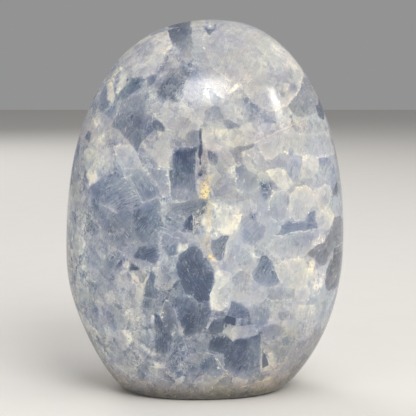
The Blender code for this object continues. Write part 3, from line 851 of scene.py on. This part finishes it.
# The colour cast: change with warmth and value at none, for red and blue; green also has a noise
CAST_RED = (0.10, 0.99)
CAST_BLUE = (-0.13, 0.975)
CAST_GREEN = (0.18, 0.912)
GREEN_WARMTH = -0.010
# Steps of the specks in the stain, and of those that turn it from pale to full yellow
STAIN_STEP = (0.36, 0.50)
YELLOW_STEP = (0.46, 0.60)

# The polish: roughness and its change with the fine grain, bump height in metres and strength,
# the grit in the bump and how much pitting adds, refraction, and the light under the skin
ROUGHNESS = 0.11
ROUGHNESS_GRAIN = 0.12
BUMP_HEIGHT = 0.0002
BUMP_STRENGTH = 0.12
GRIT = 1.3
PITTED_GRIT = 0.7
REFRACTION = 1.58
UNDER_SKIN = 0.12
UNDER_SKIN_RADIUS = (1.0, 1.05, 1.2)
UNDER_SKIN_DEPTH = 0.0012

# The floor: colour as 0 to 255, how much deeper its unevenness goes, roughness, shine, reach in metres
FLOOR_COLOUR = (226, 223, 218)
FLOOR_DEEPER = 4
FLOOR_ROUGHNESS = 0.8
FLOOR_SHINE = 0.1
FLOOR_REACH = 3.0

# Soft lamps aimed at the stone's middle: name, place, width and height in metres, power in W, colour
WHITE = (1.0, 1.0, 1.0)
LAMPS = (
    ("key", (0.55, -1.0, 0.95), (0.8, 0.8), 14.0, (1.0, 0.99, 0.97)),
    ("side", (1.1, -0.35, 0.55), (0.5, 0.8), 2.2, (1.0, 0.985, 0.96)),
    ("top", (0.25, -0.1, 1.3), (0.8, 0.8), 4.5, WHITE),
    ("fill", (-0.9, -0.9, 0.45), (0.7, 0.9), 3.0, WHITE),
    ("rear", (-0.6, 1.1, 0.9), (0.8, 0.8), 7.0, WHITE),
)
# Small lamps seen only as highlights in the polish: name, place, aim, width and height, power in W
WARM_WHITE = (1.0, 0.97, 0.88)
GLINTS = (
    ("broad_glint", (-0.003, -0.919, 0.614), (0.001, -0.023, 0.107), (0.020, 0.018), 0.66),
    ("broad_haze", (-0.003, -0.919, 0.614), (0.001, -0.023, 0.107), (0.24, 0.16), 1.5),
    ("tall_glint", (0.605, -0.685, 0.572), (0.023, -0.021, 0.104), (0.011, 0.055), 0.5),
    ("tall_haze", (0.625, -0.700, 0.520), (0.024, -0.021, 0.101), (0.05, 0.26), 0.6),
)
SURROUND_COLOUR = (0.81, 0.81, 0.82, 1.0)
SURROUND_STRENGTH = 0.36


def paint(colour):
    """Scene-linear colour from one named as 0 to 255 per channel."""
    share = np.array(colour) / 255
    linear = np.where(share <= 0.04045, share / 12.92, ((share + 0.055) / 1.055) ** 2.4)
    return (*linear.tolist(), 1.0)


class Sheet:
    """Lays out the nodes of one material; place is where a point is in the object, in metres."""

    def __init__(self, name):
        self.material = bpy.data.materials.new(name)
        self.material.use_nodes = True
        self.nodes = self.material.node_tree.nodes
        self.links = self.material.node_tree.links
        self.shader = self.nodes["Principled BSDF"]
        self.place = self.nodes.new("ShaderNodeTexCoord").outputs["Object"]

    def node(self, kind, *sources, **settings):
        """A new node of one kind with its settings, its first sockets fed in turn."""
        node = self.nodes.new("ShaderNode" + kind)
        for name, value in settings.items():
            setattr(node, name, value)
        for socket, source in zip(node.inputs, sources):
            self.feed(socket, source)
        return node

    def feed(self, socket, source):
        """Links a socket's value, or sets a plain number or vector on it."""
        if isinstance(source, bpy.types.NodeSocket):
            self.links.new(source, socket)
        else:
            socket.default_value = source

    def finish(self, **values):
        """Feeds the shader's own sockets, named with low lines for spaces."""
        for name, source in values.items():
            self.feed(self.shader.inputs[name.replace("_", " ")], source)

    def math(self, operation, *sources):
        """One Math node."""
        return self.node("Math", *sources, operation=operation).outputs[0]

    def times(self, first, second):
        """The product of two numbers."""
        return self.math("MULTIPLY", first, second)

    def add(self, value, share, base):
        """The value times a share, added to the base."""
        return self.math("MULTIPLY_ADD", value, share, base)

    def most(self, first, second):
        """The greater of two numbers."""
        return self.math("MAXIMUM", first, second)

    def centred(self, noise):
        """Noise moved to lie about evenly either side of 0."""
        return self.math("SUBTRACT", noise, 0.5)

    def span(self, value, low, high, start=0.0, end=1.0):
        """A smooth step of the value from start at low to end at high."""
        step = (value, low, high, start, end)
        return self.node("MapRange", *step, interpolation_type="SMOOTHSTEP").outputs[0]

    def between(self, share, low, high):
        """The mix of two numbers."""
        node = self.node("Mix")
        for number, source in ((0, share), (2, low), (3, high)):
            self.feed(node.inputs[number], source)
        return node.outputs[0]

    def tint(self, share, low, high):
        """The mix of two colours."""
        node = self.node("Mix", data_type="RGBA")
        for number, source in ((0, share), (6, low), (7, high)):
            self.feed(node.inputs[number], source)
        return node.outputs[2]

    def attribute(self, name):
        """A mesh attribute in all its forms: Color, Vector, Fac and Alpha."""
        return self.node("Attribute", attribute_name=name).outputs

    def parts(self, vector):
        """The three numbers in a vector."""
        return self.node("SeparateXYZ", vector).outputs

    def vectors(self, operation, *sources):
        """One Vector Math node."""
        outputs = self.node("VectorMath", *sources, operation=operation).outputs
        return outputs["Value" if operation == "DOT_PRODUCT" else "Vector"]

    def noise(self, vector, size, detail=3.0, rough=0.55, warp=0.0):
        """Cloudy noise from 0 to 1 whose blobs are about size across, in the vector's units."""
        node = self.node("TexNoise", vector)
        node.inputs["Scale"].default_value = 1 / size
        node.inputs["Detail"].default_value = detail
        node.inputs["Roughness"].default_value = rough
        node.inputs["Distortion"].default_value = warp
        return node.outputs["Fac"]

    def cloudy(self, name):
        """The named noise through the object, and through its smooth step if it has one."""
        noise = self.noise(self.place, *NOISES[name])
        return self.span(noise, *STEPS[name]) if name in STEPS else noise


def facets(sheet, size, turn):
    """Square-cornered facets at random: each one's tone and slant, about -1 to 1, and their borders.

    The tone is the cell's own random number. The slant is the distance from the cell's middle along
    a random direction. The border is where the two nearest middles are about equally far.
    """
    mapping = sheet.node("Mapping", sheet.place)
    mapping.inputs["Rotation"].default_value = turn
    mapping.inputs["Scale"].default_value = FACET_SHAPE
    wander = sheet.node("TexNoise", sheet.place)
    wander.inputs["Scale"].default_value = 1 / (FACET_BEND_SIZE * size)
    wander.inputs["Detail"].default_value = 2.0
    bend = (FACET_BEND * size,) * 3
    moved = sheet.vectors("MULTIPLY_ADD", wander.outputs["Color"], bend, mapping.outputs[0])
    both = []
    for feature in ("F1", "F2"):
        cells = sheet.node("TexVoronoi", moved, distance="CHEBYCHEV", feature=feature)
        cells.inputs["Scale"].default_value = 1 / size
        both.append(cells.outputs)
    nearest, second = both
    offset = sheet.vectors("SUBTRACT", moved, nearest["Position"])
    lean = sheet.vectors("SUBTRACT", nearest["Color"], (0.5, 0.5, 0.5))
    slant = sheet.times(sheet.vectors("DOT_PRODUCT", offset, lean), FACET_SLANT / size)
    own = sheet.add(sheet.parts(nearest["Color"])[0], 2 * FACET_TONE, -FACET_TONE)
    gap = sheet.math("SUBTRACT", second["Distance"], nearest["Distance"])
    return own, slant, sheet.span(gap, 0.0, FACET_BORDER / size, 1.0, 0.0)


def lay_layer(sheet, number, waver, soften, flaws, tone, warm, line):
    """Paints one layer of crystals over the tone, warmth and pale lines so far.

    A crystal covers them by a smooth step of its depth, moved by the waver, across its soft edge.
    Its pale line lies where that depth is near 0, with chips beside it where there are flaws.
    """
    body = sheet.attribute(f"crystal_{number}")
    depth, layer_tone, layer_warm = sheet.parts(body["Color"])
    soft, strength, ragged = sheet.parts(sheet.attribute(f"edge_{number}")["Vector"])
    moved = sheet.add(waver, ragged, depth)
    soft = sheet.times(soft, sheet.between(sheet.times(strength, CRISP), soften, 1.0))
    cover = sheet.span(moved, sheet.times(soft, -1.0), soft)
    cover = sheet.times(cover, body["Alpha"])
    near = sheet.math("ABSOLUTE", moved)
    chips = sheet.times(sheet.span(near, *CHIP_WIDTH, 1.0, 0.0), flaws)
    rim = sheet.times(sheet.most(sheet.span(near, 0.0, RIM_WIDTH, 1.0, 0.0), chips), strength)
    tone = sheet.between(cover, tone, layer_tone)
    warm = sheet.between(cover, warm, layer_warm)
    hidden = sheet.times(line, sheet.math("SUBTRACT", 1.0, cover))
    return tone, warm, sheet.most(hidden, rim)


def lay_cracks(sheet, count, waver, line):
    """Breaks up the pale lines so far, and adds the fractures to them."""
    line = sheet.times(line, sheet.cloudy("breaks"))
    feather = sheet.cloudy("feather")
    for number in range(count):
        away, strength, width = sheet.parts(sheet.attribute(f"fracture_{number}")["Vector"])
        away = sheet.math("ABSOLUTE", sheet.add(waver, CRACK_WAVER, away))
        crack = sheet.span(sheet.math("DIVIDE", away, width), 0.0, 1.0, 1.0, 0.0)
        line = sheet.most(line, sheet.times(sheet.times(crack, strength), feather))
    return line


def lay_fibres(sheet, across, along, fibre, tone):
    """Adds the fibres to the tone, and returns needles that lie the same way for the pale lines."""
    combed = sheet.node("CombineXYZ", sheet.times(across, FIBRE_ACROSS), sheet.times(along, FIBRE_ALONG))
    fibres = sheet.centred(sheet.noise(combed.outputs[0], *FIBRE_NOISE))
    fibres = sheet.times(fibres, sheet.cloudy("fibre places"))
    tone = sheet.add(sheet.times(fibres, FIBRE_SHARE), fibre, tone)
    needles = sheet.noise(sheet.vectors("MULTIPLY", combed.outputs[0], NEEDLE_SHAPE), *NEEDLE_NOISE)
    needles = sheet.times(sheet.span(needles, *NEEDLE_STEP), sheet.cloudy("needle places"))
    return tone, needles


def lay_wisps(sheet, cloud, busy, line):
    """Adds wisps, where a warped noise is near its middle, and two sizes of fleck to the pale lines."""
    wisps = sheet.math("ABSOLUTE", sheet.centred(sheet.cloudy("wisps")))
    wisps = sheet.times(sheet.span(wisps, 0.0, WISP_WIDTH, 1.0, 0.0), sheet.cloudy("wisp places"))
    line = sheet.most(line, sheet.times(sheet.times(wisps, cloud), WISP_SHARE))
    for name in ("large flecks", "small flecks"):
        line = sheet.most(line, sheet.times(sheet.cloudy(name), busy))
    return line


def stone_colour(sheet, tone, warm):
    """The palette's colour for the tone, with a cast that warms or cools it, and the stain on top."""
    ramp = sheet.node("ValToRGB", tone)
    stops = ramp.color_ramp.elements
    while len(stops) < len(TONES):
        stops.new(0.5)
    for stop, (position, colour) in zip(stops, TONES):
        stop.position = position
        stop.color = paint(colour)
    for name, amount in DRIFTS:
        warm = sheet.add(sheet.centred(sheet.cloudy(name)), amount, warm)
    green = sheet.add(warm, GREEN_WARMTH, sheet.add(sheet.cloudy("green"), *CAST_GREEN))
    cast = sheet.node("CombineXYZ", sheet.add(warm, *CAST_RED), green, sheet.add(warm, *CAST_BLUE))
    colour = sheet.vectors("MULTIPLY", ramp.outputs[0], cast.outputs[0])

    specks = sheet.cloudy("specks")
    stain = sheet.times(sheet.attribute("stain")["Fac"], sheet.span(specks, *STAIN_STEP))
    yellow = sheet.tint(sheet.span(specks, *YELLOW_STEP), paint(PALE_YELLOW), paint(YELLOW))
    yellow = sheet.tint(sheet.cloudy("ochre"), yellow, paint(OCHRE))
    return sheet.tint(stain, colour, yellow)


def polish(sheet, fine, line, pitted_sparkle):
    """A polish that the fine grain, the pale lines and the grit roughen a little."""
    rough = sheet.add(pitted_sparkle, PITTED_GRIT, GRIT)
    height = sheet.add(sheet.cloudy("grit"), rough, sheet.math("ADD", fine, line))
    bump = sheet.node("Bump")
    bump.inputs["Distance"].default_value = BUMP_HEIGHT
    bump.inputs["Strength"].default_value = BUMP_STRENGTH
    sheet.feed(bump.inputs["Height"], height)
    sheet.finish(Roughness=sheet.add(fine, ROUGHNESS_GRAIN, ROUGHNESS), Normal=bump.outputs[0])
    sheet.finish(IOR=REFRACTION, Subsurface_Weight=UNDER_SKIN)
    sheet.finish(Subsurface_Radius=UNDER_SKIN_RADIUS, Subsurface_Scale=UNDER_SKIN_DEPTH)


def calcite(layer_count, fracture_count):
    """Polished calcite: crystal tones with fibres, clouds, flecks, pale fractures and the stain."""
    sheet = Sheet("blue_calcite")
    tone, warm, ground_cloud = sheet.parts(sheet.attribute("ground")["Vector"])
    grain = sheet.attribute("grain")
    across, along, fibre = sheet.parts(grain["Color"])
    cloud = grain["Alpha"]
    pitted_sparkle = sheet.attribute("pitted_sparkle")["Fac"]
    # Round the broad highlight the pitted spots add flecks to the colour: partly painted sparkle
    busy = sheet.add(pitted_sparkle, PITTED_SPARKLE_FLECKS, sheet.times(cloud, sheet.cloudy("busy")))

    large, small, tiny = [facets(sheet, size, turn) for size, turn in FACETS]
    for (own, _, _), share in zip((large, small), GROUND_SHARES):
        tone = sheet.add(own, sheet.times(ground_cloud, share), tone)
    border = sheet.most(large[2], sheet.times(small[2], SMALL_BORDER))
    line = sheet.times(sheet.times(border, cloud), BORDER_LINE)

    waver = sheet.add(sheet.cloudy("waver"), 2 * WAVER, -WAVER)
    soften, flaws = sheet.cloudy("soften"), sheet.cloudy("flaws")
    for number in range(layer_count):
        tone, warm, line = lay_layer(sheet, number, waver, soften, flaws, tone, warm, line)
    tone = sheet.add(tone, CONTRAST, CONTRAST_SHIFT)
    cut = sheet.add(cloud, *CUT_SHARE)
    for own, slant, _ in (large, small):
        tone = sheet.add(sheet.math("ADD", own, slant), cut, tone)
    chips = sheet.math("ADD", sheet.math("ADD", tiny[0], tiny[1]), tiny[2])
    tone = sheet.add(chips, sheet.times(busy, CHIP_SHARE), tone)

    line = lay_cracks(sheet, fracture_count, waver, line)
    fine = sheet.centred(sheet.cloudy("fine"))
    tone = sheet.add(sheet.times(sheet.centred(sheet.cloudy("clouds")), CLOUD_SHARE), cloud, tone)
    tone = sheet.add(fine, sheet.add(busy, *FINE_SHARE), tone)
    tone = sheet.add(sheet.cloudy("pits"), busy, tone)
    tone, needles = lay_fibres(sheet, across, along, fibre, tone)
    line = sheet.most(lay_wisps(sheet, cloud, busy, line), needles)
    tone = sheet.add(line, sheet.math("SUBTRACT", LINE_TONE, tone), tone)

    sheet.finish(Base_Color=stone_colour(sheet, tone, warm))
    polish(sheet, fine, line, pitted_sparkle)
    return sheet.material


def floor_finish():
    """Pale matt board with the faintest unevenness."""
    sheet = Sheet("pale_board")
    deeper = paint([channel - FLOOR_DEEPER for channel in FLOOR_COLOUR])
    sheet.finish(Base_Color=sheet.tint(sheet.cloudy("board"), paint(FLOOR_COLOUR), deeper))
    sheet.finish(Roughness=FLOOR_ROUGHNESS, Specular_IOR_Level=FLOOR_SHINE)
    return sheet.material


def make_floor():
    """A wide pale floor under the stone."""
    mesh = bpy.data.meshes.new("floor")
    reach = FLOOR_REACH
    corners = [(-reach, -reach, 0), (reach, -reach, 0), (reach, reach, 0), (-reach, reach, 0)]
    mesh.from_pydata(corners, [], [(0, 1, 2, 3)])
    mesh.materials.append(floor_finish())
    floor = bpy.data.objects.new("floor", mesh)
    bpy.context.collection.objects.link(floor)


def soft_light(name, place, aim, size, power, colour, glint=False):
    """A rectangular lamp turned to its aim: one that lights, or one seen only as a glint."""
    lamp = bpy.data.lights.new(name, "AREA")
    lamp.shape = "RECTANGLE"
    lamp.size, lamp.size_y = size
    lamp.energy = power
    lamp.color = colour
    holder = bpy.data.objects.new(name, lamp)
    holder.location = place
    holder.rotation_euler = (Vector(aim) - Vector(place)).to_track_quat("-Z", "Y").to_euler()
    holder.visible_camera = False
    holder.visible_diffuse = not glint
    holder.visible_glossy = glint
    bpy.context.collection.objects.link(holder)


def make_light():
    """Soft studio light from the front, above the camera, with small lamps for the glints."""
    for name, place, size, power, colour in LAMPS:
        soft_light(name, place, (0, 0, HEIGHT / 2), size, power, colour)
    for name, place, aim, size, power in GLINTS:
        soft_light(name, place, aim, size, power, WARM_WHITE, glint=True)
    world = bpy.data.worlds.new("surround")
    world.use_nodes = True
    world.node_tree.nodes["Background"].inputs["Color"].default_value = SURROUND_COLOUR
    world.node_tree.nodes["Background"].inputs["Strength"].default_value = SURROUND_STRENGTH
    bpy.context.scene.world = world


stone, layer_count, fracture_count = make_stone()
stone.data.materials.append(calcite(layer_count, fracture_count))
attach(stone, "root")
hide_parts("calcite_freeform")

make_floor()
make_light()
bpy.context.scene.view_settings.view_transform = "Standard"
